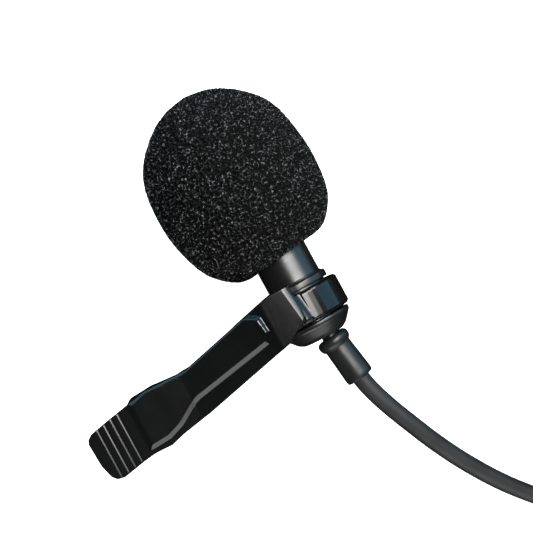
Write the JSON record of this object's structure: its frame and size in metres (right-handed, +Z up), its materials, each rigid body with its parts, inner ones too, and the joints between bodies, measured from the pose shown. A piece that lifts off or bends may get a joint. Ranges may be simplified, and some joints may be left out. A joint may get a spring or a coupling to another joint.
{
  "type": "lavalier microphone",
  "caption": "Clip-on lavalier microphone: foam-covered capsule barrel held in the swivel ring of a sprung clip, with a thin cable coiled beside it and a small audio plug.",
  "frame": {"origin": "on the table, under the middle of the microphone and its clip, without the cable", "axes": "+Z up from the table; +Y along the barrel towards the foam's tip; the clip reaches towards -X and the cable leaves towards -Y"},
  "size_m": [0.1074, 0.0993, 0.0248],
  "materials": {
    "foam": "open-cell foam, matt",
    "anodised": "satin black anodised",
    "plastic": "satin moulded",
    "rubber": "smooth matt",
    "jacket": "soft matt jacket",
    "steel": "plain steel",
    "gold": "gold-plated contacts",
    "can": "drawn can",
    "board": "solder mask",
    "wire_red": "insulated wire",
    "wire_white": "insulated wire",
    "strap": "woven hook-and-loop strap"
  },
  "bodies": {
    "microphone": {"barrel": "anodised", "grille": "steel", "capsule_gasket": "rubber", "capsule_sleeve": "rubber", "capsule": "can", "capsule_board": "board", "wire_signal": "wire_red", "wire_ground": "wire_white", "cable_crimp": "steel", "base_cap": "anodised", "strain_relief": "rubber", "cable_lead": "jacket", "cable_coil": "jacket", "cable_tie": "strap", "cable_tail": "jacket", "plug_strain_relief": "rubber", "plug_shell": "anodised", "plug_core": "plastic", "jack_sleeve": "gold", "jack_ring_rear": "gold", "jack_ring_front": "gold", "jack_tip": "gold", "insulator_rear": "plastic", "insulator_middle": "plastic", "insulator_front": "plastic"},
    "windscreen": {"foam_windscreen": "foam"},
    "clip_front": {"front_jaw": "plastic", "hinge_pin": "steel", "spring_front": "steel"},
    "clip_rear": {"rear_jaw": "plastic", "spring_rear": "steel"}
  },
  "joints": [
    {"name": "windscreen_pull", "type": "slide", "parent": "microphone", "child": "windscreen", "axis": [0, 1, 0], "range_m": [0, 0.014]},
    {"name": "clip_swivel", "type": "hinge", "parent": "microphone", "child": "clip_front", "pos_m": [0.01288, -0.01111, 0.01238], "axis": [0, 1, 0], "continuous": true},
    {"name": "clip_squeeze", "type": "hinge", "parent": "clip_front", "child": "clip_rear", "pos_m": [-0.00662, -0.01426, 0.01103], "axis": [0, 1, 0], "range_deg": [0, 24], "stiffness_Nm_per_rad": 0.15, "springref_deg": -17.19}
  ]
}
